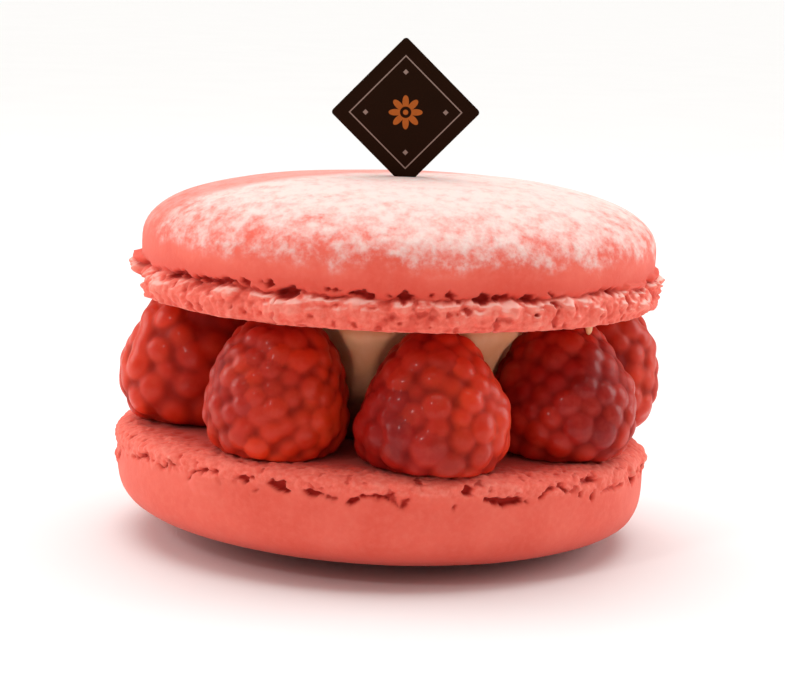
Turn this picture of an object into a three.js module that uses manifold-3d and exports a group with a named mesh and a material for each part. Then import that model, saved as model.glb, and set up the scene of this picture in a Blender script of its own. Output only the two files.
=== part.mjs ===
import * as THREE from "three";
import { ConvexHull } from "three/addons/math/ConvexHull.js";
import { ImprovedNoise } from "three/addons/math/ImprovedNoise.js";
import { mergeVertices } from "three/addons/utils/BufferGeometryUtils.js";
import Module from "manifold-3d";

// French macaron with a ring of whole berries round a core of cream, and a dark chocolate plaque on top.
// Millimetres, +Z up. The origin is the middle of the flat spot that it rests on, and the front is -Y.
// A bearing is an angle about +Z in degrees, 0 at the front and growing towards +X.

// Room kept between pieces that touch
const CLEARANCE = 0.3;

// Heights of the two flat inner faces, and the rise of the lower one per millimetre towards +X and +Y
const UPPER_FACE_Z = 34.5;
const LOWER_FACE_Z = 15.3;
const LOWER_LEAN = new THREE.Vector2(-0.022, -0.012);

// Shells: the upper one has its dome up and the lower one its dome down, on a small flat spot.
// Thickness runs from the flat inner face to the top of the dome, and rimWidth is the width of the rounded
// rim of the inner face.
// A gap is a dark hollow between foot and dome, as its bearing and half its width in degrees.
const UPPER_SHELL = {
  x: 0.9,
  radius: 36.5,
  thickness: 16.75,
  footHeight: 4.2,
  footOverhang: 0.9,
  rimWidth: 1.3,
  equatorHeight: 6.8,
  squareness: 2.65,
  flatSpot: 0,
  frontLift: 0,
  lean: new THREE.Vector2(0, 0),
  gaps: [
    [-66, 5], [-47, 7], [-27, 4], [-14, 3], [-4, 5], [3, 3], [17, 3],
    [24, 4], [33, 4], [62, 3], [118, 5], [160, 6], [215, 5],
  ],
};
const LOWER_SHELL = {
  x: -0.9,
  radius: 37.7,
  thickness: 14.95,
  footHeight: 4.9,
  footOverhang: 0.2,
  rimWidth: 3.4,
  equatorHeight: 5.4,
  squareness: 3.4,
  flatSpot: 10,
  frontLift: 2.6,
  lean: LOWER_LEAN,
  gaps: [
    [-60, 5], [-42, 4], [-23, 5], [-15, 4], [-3, 3], [20, 8],
    [34, 3], [47, 3], [70, 4], [130, 6], [185, 5], [235, 4],
  ],
};
// How far out from the flat spot the dome has come down to it
const FLAT_SPOT_FADE = 12;
const BEARINGS = 84;
const DOME_STEPS = 6;
const DOME_STEP_POWER = 1.5;
const LUMP_SIZE = 2.6;
const LUMP_HEIGHT = 1;
const GAP_DEPTH = 1.5;
const GAP_SPREAD = 1.6;
const DOME_WAVE_SIZE = 17;
const DOME_WAVE_HEIGHT = 0.5;

// Section of the foot from the inner face to the dome: how far out of the dome's radius as a share of the
// overhang, how far in as a share of the rim, how high as a share of the foot, and how strongly lumps and
// gaps shape it
const FOOT_SECTION = [
  { out: 0, rim: 1, up: 0, lumps: 0, gaps: 0 },
  { out: 0.3, rim: 0.3, up: 0.08, lumps: 0.4, gaps: 0 },
  { out: 0.8, rim: 0.04, up: 0.3, lumps: 0.9, gaps: 0 },
  { out: 1, rim: 0, up: 0.52, lumps: 1, gaps: 0.1 },
  { out: 0.7, rim: 0, up: 0.76, lumps: 1.1, gaps: 0.4 },
  { out: -0.2, rim: 0, up: 0.92, lumps: 0.8, gaps: 1 },
  { out: -0.9, rim: 0, up: 1, lumps: 0.3, gaps: 1.5 },
  { out: -0.2, rim: 0, up: 1.08, lumps: 0.15, gaps: 0.3 },
];

// Berries stand in a ring. Size is a berry's width along the ring and outwards, middle is the height of its
// centre above the lower inner face, taper narrows it towards its tip, and a higher square makes it boxier.
// Lean tips it outwards and towards larger bearings, in degrees.
const BERRIES = [
  { bearing: -84, ring: 28.2, size: [22, 18.8], middle: 9, taper: 0.12, square: 2.6, lean: [-18, 4] },
  { bearing: -31.6, ring: 28, size: [19.3, 19.3], middle: 7.8, taper: 0.14, square: 2.3, lean: [-2, 5] },
  { bearing: 12.6, ring: 28.4, size: [20.5, 20.5], middle: 7.7, taper: 0.25, square: 2.2, lean: [-3, 3] },
  { bearing: 60, ring: 27.6, size: [20, 20.6], middle: 8.3, taper: 0.24, square: 2.2, lean: [-8, 0] },
  { bearing: 104, ring: 31, size: [19, 19], middle: 9, taper: 0.08, square: 2.3, lean: [-4, 0] },
  { bearing: 147, ring: 28.6, size: [19.2, 19.2], middle: 8.4, taper: 0.22, square: 2.3, lean: [3, 0] },
  { bearing: 189.5, ring: 28.2, size: [19.5, 19.5], middle: 7.9, taper: 0.14, square: 2.3, lean: [-2, 0] },
  { bearing: 231.5, ring: 28.6, size: [18.9, 18.9], middle: 9, taper: 0.26, square: 2.3, lean: [12, 0] },
];
const BERRY_HALF_HEIGHT = 11;
const DRUPELETS = 48;
const DRUPELET_JITTER = 0.25;
const EVENING_ROUNDS = 2;
const DRUPELET_SPREAD = 1.12;
const SHOULDER = 0.62;
const GOLDEN_ANGLE = Math.PI * (3 - Math.sqrt(5));
const BERRY_SEED = 11;

// Cream fills the middle and swells out between the berries
const CREAM_RADIUS = 17;
const CREAM_TOP_RADIUS = 25;
const CREAM_EDGE = 2.4;
const CREAM_BEARINGS = 40;
const POCKET_ROOM = 1.5;
const POCKET_BEARINGS = 14;
const POCKET_RINGS = 9;

// It lies farther in between the first two berries: how far, and at which bearings
const CREAM_DENT = { depth: 6, bearing: -62, half: 14, spread: 1.6, core: 8 };

// Plaque: a square of chocolate that stands on its corner, its point pushed into the upper shell
const PLAQUE_SIDE = 15;
const PLAQUE_THICKNESS = 1.4;
const PLAQUE_CORNER = 0.5;
const PLAQUE_CORNER_SEGMENTS = 3;
const PLAQUE_X = 1.15;
const PLAQUE_CENTRE_Z = 60.4;
const PLAQUE_TURN = -1.5;

// Vertices closer than this are one vertex
const WELD_DISTANCE = 1e-4;

const wasm = await Module();
wasm.setup();
const perlin = new ImprovedNoise();
const degrees = THREE.MathUtils.degToRad;

// A closed geometry as a solid to join and cut with, and a solid back as a geometry
function solidOf(geometry) {
  const bare = geometry.clone();
  bare.deleteAttribute("normal");
  bare.deleteAttribute("uv");
  const merged = mergeVertices(bare, WELD_DISTANCE);
  const vertProperties = new Float32Array(merged.attributes.position.array);
  const triVerts = new Uint32Array(merged.index.array);
  return new wasm.Manifold(new wasm.Mesh({ numProp: 3, vertProperties, triVerts }));
}

function geometryOf(solid) {
  const { vertProperties, triVerts } = solid.getMesh();
  const geometry = new THREE.BufferGeometry();
  geometry.setAttribute("position", new THREE.BufferAttribute(vertProperties, 3));
  geometry.setIndex(new THREE.BufferAttribute(triVerts, 1));
  geometry.computeVertexNormals();
  return geometry;
}

// Every vertex of a geometry moved in place by a function of its position
function reshape(geometry, move) {
  const position = geometry.attributes.position;
  const point = new THREE.Vector3();
  for (let i = 0; i < position.count; i++) {
    move(point.fromBufferAttribute(position, i));
    position.setXYZ(i, point.x, point.y, point.z);
  }
  return geometry;
}

// A profile of [radius, height] points turned about the Z axis
function turned(profile, segments) {
  const points = profile.map(([radius, height]) => new THREE.Vector2(radius, height));
  return new THREE.LatheGeometry(points, segments).rotateX(Math.PI / 2);
}

function bearingOf(point) {
  return THREE.MathUtils.radToDeg(Math.atan2(point.x, -point.y));
}

function angleBetween(a, b) {
  return Math.abs(THREE.MathUtils.euclideanModulo(a - b + 180, 360) - 180);
}

// Shells in their own frame: flat inner face at height 0, dome up.
function shellProfile(shell) {
  const foot = FOOT_SECTION.map(({ out, rim, up }) => [
    shell.radius + out * shell.footOverhang - rim * shell.rimWidth,
    up * shell.footHeight,
  ]);
  const dome = [];
  const domeHeight = shell.thickness - shell.equatorHeight;
  for (let i = 0; i <= DOME_STEPS; i++) {
    const turn = (Math.PI / 2) * (i / DOME_STEPS) ** DOME_STEP_POWER;
    dome.push([
      shell.radius * Math.cos(turn) ** (2 / shell.squareness),
      shell.equatorHeight + domeHeight * Math.sin(turn) ** (2 / shell.squareness),
    ]);
  }
  dome[DOME_STEPS][0] = 0;
  if (shell.flatSpot > 0) dome.splice(DOME_STEPS, 0, [shell.flatSpot, shell.thickness]);
  return [[0, 0], ...foot, ...dome];
}

// How deep the hollow between foot and dome is at a bearing, from 0 to 1
function gapAt(shell, bearing) {
  const depths = shell.gaps.map(([middle, half]) =>
    THREE.MathUtils.smoothstep(GAP_SPREAD - angleBetween(bearing, middle) / half, 0, 1),
  );
  return Math.max(0, ...depths);
}

// Weight of the foot's lumps and gaps at a height, read from the foot's section
function footWeights(shell, height) {
  const share = height / shell.footHeight;
  const above = FOOT_SECTION.findIndex(({ up }) => share <= up + WELD_DISTANCE);
  if (above < 0) return { lumps: 0, gaps: 0 };
  const { lumps, gaps } = FOOT_SECTION[above];
  return { lumps, gaps };
}

function shellGeometry(shell, flip) {
  const geometry = turned(shellProfile(shell), BEARINGS);
  return reshape(geometry, (point) => {
    const radius = Math.hypot(point.x, point.y);
    const height = point.z;
    if (radius === 0 || (height === 0 && shell.lean.lengthSq() === 0)) return;
    // A flipped shell is turned over about the X axis, so its front is at +Y here.
    const bearing = bearingOf(new THREE.Vector3(point.x, flip * point.y, 0));
    const { lumps, gaps } = footWeights(shell, height);
    const lumpPlace = point.clone().divideScalar(LUMP_SIZE);
    const lumpNoise = perlin.noise(lumpPlace.x, lumpPlace.y, lumpPlace.z + shell.radius);
    const wave = perlin.noise(point.x / DOME_WAVE_SIZE, point.y / DOME_WAVE_SIZE, shell.thickness);
    const push = lumps * LUMP_HEIGHT * lumpNoise - gaps * GAP_DEPTH * gapAt(shell, bearing);
    const swell = height > 0 ? DOME_WAVE_HEIGHT * wave : 0;
    const scale = (radius + push + swell) / radius;
    // The hollow lies nearer the inner face at the front.
    const nearHollow = height < shell.footHeight
      ? height / shell.footHeight
      : THREE.MathUtils.clamp(1 - (height - shell.footHeight) / shell.equatorHeight, 0, 1);
    const front = ((1 + Math.cos(degrees(bearing))) / 2) ** 2;
    const lift = shell.frontLift * front * nearHollow;
    const lean = shell.lean.x * point.x + shell.lean.y * flip * point.y;
    point.x *= scale;
    point.y *= scale;
    point.z -= lift + lean;
    // The underside comes down to the flat spot, at height 0 of the whole macaron.
    if (shell.flatSpot > 0 && height > shell.equatorHeight) {
      const clear = THREE.MathUtils.smoothstep(radius, shell.flatSpot, shell.flatSpot + FLAT_SPOT_FADE);
      point.z = LOWER_FACE_Z - (LOWER_FACE_Z - point.z) * clear;
    }
  });
}

// The height of the lower inner face below a point
function lowerFaceAt(x, y) {
  return LOWER_FACE_Z + LOWER_LEAN.x * (x - LOWER_SHELL.x) + LOWER_LEAN.y * y;
}

// Berries in their own frame: centre at the origin, tip up, X along the ring and -Y outwards.
// A direction from the centre becomes a point of a smooth body that narrows to the tip.
function berryBodyPoint(direction, berry) {
  const { taper, square } = berry;
  const widestHeight = (1 - Math.sqrt(1 + 8 * taper ** 2)) / (4 * taper);
  const widest = Math.sqrt(1 - widestHeight ** 2) * (1 - taper * widestHeight);
  const across = Math.hypot(direction.x, direction.y);
  const squaring = (across ** square + Math.abs(direction.z) ** square) ** (-1 / square);
  const point = direction.clone().multiplyScalar(squaring);
  const narrowing = (1 - taper * point.z) / widest;
  const halfSizes = new THREE.Vector3(
    (narrowing * berry.size[0]) / 2,
    (narrowing * berry.size[1]) / 2,
    BERRY_HALF_HEIGHT,
  );
  return point.multiply(halfSizes);
}

// Directions along a spiral, each moved a little and then evened out towards the middle of its cell
function drupeletDirections() {
  const spacing = Math.sqrt((4 * Math.PI) / DRUPELETS);
  const shift = () => (THREE.MathUtils.seededRandom() - 0.5) * 2 * DRUPELET_JITTER * spacing;
  let directions = Array.from({ length: DRUPELETS }, (_, i) => {
    const height = 1 - (2 * (i + 0.5)) / DRUPELETS;
    const across = Math.sqrt(1 - height * height);
    const turn = i * GOLDEN_ANGLE;
    const direction = new THREE.Vector3(across * Math.cos(turn), across * Math.sin(turn), height);
    direction.x += shift();
    direction.y += shift();
    direction.z += shift();
    return direction.normalize();
  });
  for (let round = 0; round < EVENING_ROUNDS; round++) {
    const { corners, cells } = cellsOf(directions);
    directions = cells.map((cell) => {
      const middle = new THREE.Vector3();
      cell.forEach((corner) => middle.add(corners[corner]));
      return middle.normalize();
    });
  }
  return directions;
}

// The cell of the sphere that belongs to each direction: its corners in order, as indices of a shared list
function cellsOf(directions) {
  const faces = new ConvexHull().setFromPoints(directions).faces;
  const corners = faces.map((face) => face.normal.clone());
  const cells = new Map(directions.map((direction) => [direction, []]));
  faces.forEach((face, index) => {
    let edge = face.edge;
    do {
      cells.get(edge.head().point).push(index);
      edge = edge.next;
    } while (edge !== face.edge);
  });
  for (const [direction, cell] of cells) {
    const side = new THREE.Vector3(1, 0, 0).cross(direction).normalize();
    const other = new THREE.Vector3().crossVectors(direction, side);
    const turnOf = (index) => Math.atan2(corners[index].dot(other), corners[index].dot(side));
    cell.sort((a, b) => turnOf(a) - turnOf(b));
  }
  return { corners, cells: directions.map((direction) => cells.get(direction)) };
}

// Each drupelet is a ball sunk into the body. The skin is the farthest ball along each line from the centre.
function berryGeometry(berry) {
  const directions = drupeletDirections();
  const { corners, cells } = cellsOf(directions);
  const balls = directions.map((direction, i) => {
    const top = berryBodyPoint(direction, berry);
    const reach = cells[i].map((index) => berryBodyPoint(corners[index], berry).distanceTo(top));
    const radius = (DRUPELET_SPREAD * reach.reduce((sum, value) => sum + value)) / reach.length;
    return { centre: top.multiplyScalar(1 - radius / top.length()), radius };
  });
  const skinPoint = (direction) => {
    const line = berryBodyPoint(direction, berry).normalize();
    const reaches = balls.map(({ centre, radius }) => {
      const along = line.dot(centre);
      const inside = along * along - centre.lengthSq() + radius * radius;
      return inside > 0 ? along + Math.sqrt(inside) : 0;
    });
    return line.multiplyScalar(Math.max(...reaches));
  };

  const points = [...corners.map(skinPoint), ...directions.map(skinPoint)];
  const triangles = [];
  cells.forEach((cell, i) => {
    const top = corners.length + i;
    const shoulders = cell.map((corner) => {
      const towards = directions[i].clone().lerp(corners[corner], SHOULDER).normalize();
      return points.push(skinPoint(towards)) - 1;
    });
    cell.forEach((corner, k) => {
      const next = (k + 1) % cell.length;
      triangles.push(top, shoulders[k], shoulders[next]);
      triangles.push(shoulders[k], corner, cell[next]);
      triangles.push(shoulders[k], cell[next], shoulders[next]);
    });
  });
  const geometry = new THREE.BufferGeometry().setFromPoints(points);
  geometry.setIndex(triangles);
  return geometry;
}

function berryPlace(berry) {
  const x = berry.ring * Math.sin(degrees(berry.bearing));
  const y = -berry.ring * Math.cos(degrees(berry.bearing));
  return new THREE.Vector3(x, y, lowerFaceAt(x, y) + berry.middle);
}

// A berry's geometry turned to its bearing and tipped by its lean, still about its own centre
function leaned(geometry, berry) {
  const [outwards, along] = berry.lean.map(degrees);
  const turn = new THREE.Euler(outwards, along, degrees(berry.bearing), "ZYX");
  return geometry.applyMatrix4(new THREE.Matrix4().makeRotationFromEuler(turn));
}

// Berries are pressed flat where they meet the two inner faces.
function pressed(geometry, place) {
  return reshape(geometry, (point) => {
    const floor = lowerFaceAt(place.x + point.x, place.y + point.y) + CLEARANCE - place.z;
    const ceiling = UPPER_FACE_Z - CLEARANCE - place.z;
    point.z = THREE.MathUtils.clamp(point.z, floor, ceiling);
  });
}

// Cream with a pocket for each berry
function creamGeometry() {
  const top = UPPER_FACE_Z - CLEARANCE;
  const bottom = LOWER_FACE_Z + CLEARANCE;
  const profile = [
    [0, bottom],
    [CREAM_RADIUS - CREAM_EDGE, bottom],
    [CREAM_RADIUS, bottom + CREAM_EDGE],
    [CREAM_TOP_RADIUS, top - CREAM_EDGE],
    [CREAM_TOP_RADIUS - CREAM_EDGE / 2, top],
    [0, top],
  ];
  const leanedFloor = reshape(turned(profile, CREAM_BEARINGS), (point) => {
    const share = (top - point.z) / (top - bottom);
    const radius = Math.hypot(point.x, point.y);
    if (radius > CREAM_DENT.core) {
      const away = angleBetween(bearingOf(point), CREAM_DENT.bearing) / CREAM_DENT.half;
      const dent = CREAM_DENT.depth * THREE.MathUtils.smoothstep(CREAM_DENT.spread - away, 0, 1);
      point.x *= 1 - dent / radius;
      point.y *= 1 - dent / radius;
    }
    point.z += share * (lowerFaceAt(point.x, point.y) - LOWER_FACE_Z);
  });
  let cream = solidOf(leanedFloor);
  for (const berry of BERRIES) {
    const roomy = { ...berry, size: berry.size.map((width) => width + 2 * POCKET_ROOM) };
    const sphere = new THREE.SphereGeometry(1, POCKET_BEARINGS, POCKET_RINGS).rotateX(Math.PI / 2);
    const ball = reshape(sphere, (point) => {
      const body = berryBodyPoint(point, roomy);
      body.z += POCKET_ROOM * point.z;
      point.copy(body);
    });
    const place = berryPlace(berry);
    const pocket = leaned(ball, berry).translate(place.x, place.y, place.z);
    cream = cream.subtract(solidOf(pocket));
  }
  return geometryOf(cream);
}

// Plaque outline: a square on its corner with slightly rounded corners, grown by a margin
function plaqueSlab(margin, thickness) {
  const half = PLAQUE_SIDE / 2 + margin;
  const radius = PLAQUE_CORNER + margin;
  const square = new THREE.Shape();
  [0, 1, 2, 3].forEach((quarter) => {
    const turn = (Math.PI / 2) * quarter;
    const middle = new THREE.Vector2(half - radius, half - radius).rotateAround(new THREE.Vector2(), turn);
    square.absarc(middle.x, middle.y, radius, turn, turn + Math.PI / 2, false);
  });
  square.closePath();
  const slab = new THREE.ExtrudeGeometry(square, {
    depth: thickness,
    bevelEnabled: false,
    curveSegments: PLAQUE_CORNER_SEGMENTS,
  });
  slab.translate(0, 0, -thickness / 2).rotateX(Math.PI / 2);
  return slab.rotateY(Math.PI / 4 + degrees(PLAQUE_TURN));
}

function upperShellGeometry() {
  const slot = plaqueSlab(CLEARANCE, PLAQUE_THICKNESS + 2 * CLEARANCE);
  slot.translate(PLAQUE_X - UPPER_SHELL.x, 0, PLAQUE_CENTRE_Z - UPPER_FACE_Z);
  const whole = solidOf(shellGeometry(UPPER_SHELL, 1));
  return geometryOf(whole.subtract(solidOf(slot)));
}

const shellPink = new THREE.MeshStandardMaterial({ color: 0xe86a5e, roughness: 0.8, metalness: 0 });
const berryRed = new THREE.MeshStandardMaterial({ color: 0xa51f18, roughness: 0.35, metalness: 0 });
const creamWhite = new THREE.MeshStandardMaterial({ color: 0xf2dfc6, roughness: 0.55, metalness: 0 });
const darkChocolate = new THREE.MeshStandardMaterial({ color: 0x2f1c12, roughness: 0.4, metalness: 0 });

function piece(name, geometry, material) {
  const mesh = new THREE.Mesh(geometry, material);
  mesh.name = name;
  return mesh;
}

const macaron = new THREE.Group();

const upperShell = piece("upper_shell", upperShellGeometry(), shellPink);
upperShell.position.set(UPPER_SHELL.x, 0, UPPER_FACE_Z);
macaron.add(upperShell);

const lowerShell = piece("lower_shell", shellGeometry(LOWER_SHELL, -1), shellPink);
lowerShell.position.set(LOWER_SHELL.x, 0, LOWER_FACE_Z);
lowerShell.rotation.x = Math.PI;
macaron.add(lowerShell);

const filling = new THREE.Group();
filling.add(piece("cream", creamGeometry(), creamWhite));
THREE.MathUtils.seededRandom(BERRY_SEED);
BERRIES.forEach((berry, i) => {
  const place = berryPlace(berry);
  const geometry = pressed(leaned(berryGeometry(berry), berry), place);
  const mesh = piece(`berry_${i + 1}`, geometry, berryRed);
  mesh.position.copy(place);
  filling.add(mesh);
});
macaron.add(filling);

const plaque = piece("plaque", plaqueSlab(0, PLAQUE_THICKNESS), darkChocolate);
plaque.position.set(PLAQUE_X, 0, PLAQUE_CENTRE_Z);
macaron.add(plaque);

export default macaron;
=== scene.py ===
import itertools
import math

import bmesh
import bpy
import numpy as np
from mathutils import Matrix, Vector


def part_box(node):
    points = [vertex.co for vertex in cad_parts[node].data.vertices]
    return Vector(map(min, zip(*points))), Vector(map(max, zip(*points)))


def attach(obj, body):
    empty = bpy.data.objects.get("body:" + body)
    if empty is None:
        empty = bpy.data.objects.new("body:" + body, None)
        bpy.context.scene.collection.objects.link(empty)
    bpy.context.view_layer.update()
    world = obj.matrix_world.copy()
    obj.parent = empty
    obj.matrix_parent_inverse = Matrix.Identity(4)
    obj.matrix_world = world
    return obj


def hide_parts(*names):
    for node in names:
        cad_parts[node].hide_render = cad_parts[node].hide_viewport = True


# Looks of a french macaron with a ring of berries, a core of cream and a chocolate plaque.
# Lengths below are millimetres unless a name says otherwise. The front is -Y, and a bearing is an angle
# about +Z in degrees, 0 at the front and growing towards +X.

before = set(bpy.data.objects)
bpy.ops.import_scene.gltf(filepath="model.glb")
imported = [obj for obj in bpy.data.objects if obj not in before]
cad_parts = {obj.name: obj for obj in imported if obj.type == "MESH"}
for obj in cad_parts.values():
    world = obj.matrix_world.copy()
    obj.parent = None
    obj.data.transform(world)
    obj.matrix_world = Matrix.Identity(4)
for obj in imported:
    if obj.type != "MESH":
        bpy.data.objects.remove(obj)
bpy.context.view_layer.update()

MM = 0.001

# Camera at the photograph's place, found from the picture's 785 by 677 pixels
CAMERA_PLACE = (0.17, -333.65, 81.33)
CAMERA_DOWN = 0.1587
CAMERA_YAW = 0.0006
CAMERA_ROLL = 0.0335
CAMERA_FOCAL_PIXELS = 2354.3
PICTURE_WIDTH = 785
SENSOR_WIDTH = 36.0

# The two flat inner faces, and the rise of the lower one per millimetre towards +X and +Y
UPPER_FACE_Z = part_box("upper_shell")[0].z / MM
LOWER_FACE_Z = 15.3
LOWER_LEAN = (-0.022, -0.012)

# Cracks and lumps of the crumbly feet: half width, depth or height, and the places along each one as bearing
# and height above the floor. A lump of negative height is a chip.
UPPER_CRACKS = [
    (0.4, 1.2, [(-58, 38.5), (-54, 39.2), (-50, 39.2)]),
    (0.35, 1.2, [(-48, 39.1), (-41, 39.2), (-36, 39.5)]),
    (0.3, 0.9, [(-34, 39.8), (-32, 39.2)]),
    (0.3, 1.0, [(-29, 39.8), (-26, 39.6)]),
    (0.7, 1.5, [(-26, 38.8), (-23, 38.7), (-21, 39.2)]),
    (0.25, 0.7, [(-15, 39.8), (-12, 39.6)]),
    (0.4, 1.3, [(-10, 39.3), (-8, 39.3), (-5, 39.0)]),
    (0.3, 1.0, [(-2, 39.4), (-2, 38.8)]),
    (0.5, 1.4, [(0, 39.0), (3, 39.2)]),
    (0.25, 0.7, [(6, 39.3), (7, 39.4)]),
    (0.45, 1.0, [(10, 39.4), (12, 39.4)]),
    (0.5, 1.4, [(16, 38.9), (19, 38.9)]),
    (0.4, 1.2, [(20, 39.0), (23, 39.2)]),
    (0.4, 1.3, [(26, 38.9), (29, 38.7)]),
    (0.25, 0.8, [(33, 39.2), (34, 38.9)]),
    (0.35, 1.0, [(50, 39.0), (52, 39.0)]),
    (0.5, 0.6, [(14, 38.0), (14, 37.1)]),
    (0.3, 0.8, [(28, 36.6), (29, 36.9)]),
    (0.25, 0.6, [(33, 38.2), (36, 37.4)]),
    (0.25, 0.5, [(45, 37.3), (46, 37.2)]),
    (0.25, 0.4, [(19, 36.5), (24, 36.3)]),
    (0.7, 0.35, [(6, 37.2), (8, 37.1)]),
    (0.4, 0.4, [(-2, 37.0), (0, 36.6)]),
    (0.35, 1.0, [(-80, 36.9), (-68, 36.8)]),
]
UPPER_LUMPS = [
    (1.7, 1.5, [(-90, 38.9), (-79, 38.9)]),
    (1.9, -2.2, [(-104, 34.9), (-74, 35.1)]),
    (0.8, 0.5, [(-63, 36.5), (-57, 37.2)]),
    (1.0, 0.5, [(-39, 38.1), (-36, 38.3)]),
    (1.0, 0.4, [(-31, 38.8), (-27, 38.9)]),
    (1.3, 0.4, [(-25, 36.7), (-20, 37.1)]),
    (0.9, 0.5, [(-18, 38.7), (-14, 38.5)]),
    (0.8, 0.55, [(8, 38.4), (12, 38.4)]),
    (1.3, 0.45, [(16, 37.7), (23, 37.5)]),
    (0.8, 0.5, [(28, 37.8), (30, 37.9)]),
    (1.0, 0.5, [(32, 38.6), (37, 38.2)]),
    (1.4, 0.7, [(59, 39.2), (66, 39.0)]),
    (1.7, 0.8, [(74, 38.9), (86, 38.6)]),
    (0.9, 0.5, [(54, 36.5), (66, 36.4)]),
    (0.8, -0.7, [(70, 37.2), (92, 37.3)]),
    (1.2, -0.9, [(84, 35.0), (104, 35.0)]),
    (1.0, 0.3, [(-9, 38.0), (-5, 38.0)]),
    (1.2, 0.3, [(0, 37.9), (4, 38.1)]),
]
LOWER_CRACKS = [
    (0.25, 0.6, [(-64, 13.1), (-61, 13.0), (-57, 14.3), (-54, 13.7)]),
    (0.25, 0.6, [(-52, 13.4), (-50, 13.1), (-48, 14.4), (-46, 14.0)]),
    (0.22, 0.7, [(-42, 12.5), (-40, 13.8), (-37, 14.5), (-34, 14.4), (-33, 12.8)]),
    (0.4, 0.8, [(-29, 14.1), (-26, 14.5)]),
    (0.3, 0.7, [(-24, 15.5)]),
    (0.6, 1.2, [(-22, 14.1), (-20, 13.9), (-18, 13.2)]),
    (0.2, 0.5, [(-26, 12.5), (-24, 12.9)]),
    (0.4, 1.0, [(-15, 13.4), (-13, 13.3), (-11, 13.2)]),
    (0.2, 0.6, [(-10, 12.9), (-7, 12.5)]),
    (0.4, 1.0, [(-6, 12.3), (-4, 12.8)]),
    (0.3, 0.9, [(-3, 13.2), (0, 13.4), (2, 13.0)]),
    (0.25, 0.6, [(0, 13.3), (3, 13.3), (4, 12.1)]),
    (0.3, 0.7, [(5, 12.1), (6, 12.9)]),
    (0.4, 0.6, [(8, 15.3)]),
    (0.2, 0.5, [(15, 11.8), (16, 12.1)]),
    (0.55, 1.0, [(17, 14.0), (19, 14.3)]),
    (0.25, 0.6, [(19, 14.5), (21, 15.1)]),
    (0.5, 1.2, [(22, 12.9), (26, 12.3), (31, 12.1)]),
    (0.25, 0.7, [(34, 12.2), (36, 13.1), (39, 13.8), (43, 12.4)]),
    (0.4, 0.8, [(40, 13.4), (41, 13.0)]),
    (0.4, 0.7, [(46, 13.8), (51, 13.3)]),
    (0.3, 0.8, [(50, 11.2)]),
    (0.25, 0.7, [(46, 11.8)]),
    (0.25, 0.5, [(53, 11.6), (62, 11.6)]),
]
LOWER_LUMPS = [
    (1.6, 0.35, [(-39, 12.7), (-35, 12.8)]),
    (1.4, 0.3, [(21, 14.1), (28, 13.6)]),
    (1.1, 0.25, [(-51, 14.8), (-47, 14.9)]),
    (1.2, 0.25, [(-5, 14.0), (0, 14.4)]),
    (1.5, 0.25, [(9, 13.6), (13, 13.3)]),
]

# Shells, as the solids have them: a flat inner face, a crumbly foot, a line of cracks above it and a dome.
# Heights are above the inner face.
#   foot, rim, equator  heights of the foot, of its rounded edge and of the widest ring
#   overhang, tuck      how far the foot stands out, and how deep the waist above it is
#   crease, wander      depth of the groove above the foot, and how far it strays up and down
#   squareness          2 is a round dome, and more is fuller at the shoulder
#   flat_spot           radius of the flat spot that the shell rests on
#   front_lift          how much lower the foot is at the front
#   foot_fade           height over which the crumbs fade out above the foot
#   coarse, fine        depth of the foot's lumps and of its crumbs
#   lean                rise of the inner face per millimetre towards +X and +Y
#   hidden              bearings from and to which cracks and lumps are drawn at random
#   flip, face_z        -1 for a shell turned over, and where its inner face lies
UPPER_SHELL = {
    "x": 0.9,
    "radius": 36.5,
    "thickness": 16.75,
    "foot": 4.2,
    "overhang": 0.9,
    "tuck": 0.5,
    "crease": 0.55,
    "rim": 0.8,
    "equator": 6.8,
    "squareness": 2.65,
    "flat_spot": 0.0,
    "front_lift": 0.0,
    "wander": 0.5,
    "foot_fade": 0.3,
    "coarse": 0.75,
    "fine": 0.6,
    "lean": (0.0, 0.0),
    "cracks": UPPER_CRACKS,
    "lumps": UPPER_LUMPS,
    "hidden": (92, 262),
    "flip": 1,
    "face_z": UPPER_FACE_Z,
    "seed": 3,
}
LOWER_SHELL = {
    "x": -0.9,
    "radius": 37.7,
    "thickness": 14.95,
    "foot": 4.9,
    "overhang": 0.1,
    "tuck": 0.0,
    "crease": 0.0,
    "rim": 2.2,
    "equator": 5.4,
    "squareness": 3.4,
    "flat_spot": 10.0,
    "front_lift": 2.6,
    "wander": 0.0,
    "foot_fade": 2.2,
    "coarse": 0.22,
    "fine": 0.42,
    "lean": LOWER_LEAN,
    "cracks": LOWER_CRACKS,
    "lumps": LOWER_LUMPS,
    "hidden": (66, 283),
    "flip": -1,
    "face_z": LOWER_FACE_Z,
    "seed": 41,
}

# Tints of the crusts: the height from which the upper one darkens down to its cracks as painted shade, the
# height under which the lower one darkens as painted shade, and how far out and how high up juice stains and
# painted shade darken it round the berries
CREVICE_SHADE_Z = 42.5
CREVICE_Z = 39.5
UNDERSIDE_SHADE_Z = 8
JUICE_AND_SHADE_REACH = 37
JUICE_AND_SHADE_Z = 13.2

# Mesh of a shell: points round it, and the steps between its rings. Crumbs cover the outer part of the inner
# face, and the side has fine rings to a little above the foot.
SHELL_BEARINGS = 1000
FACE_STEP = 0.5
SIDE_STEP = 0.18
DOME_RINGS = 24
CRUMB_WIDTH = 9.0
CRACK_REACH = 3.0
# The front lift fades out over this height above the foot, and the underside curves down to the flat spot
# over this width
LIFT_FADE = 6.0
FLAT_SPOT_FADE = 12.0
# Sizes of the foot's lumps, crumbs, grains and pits
LUMP_SIZE = 2.8
CRUMB_SIZE = 1.25
GRAIN_SIZE = 0.7
PIT_SIZE = 1.3
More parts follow.
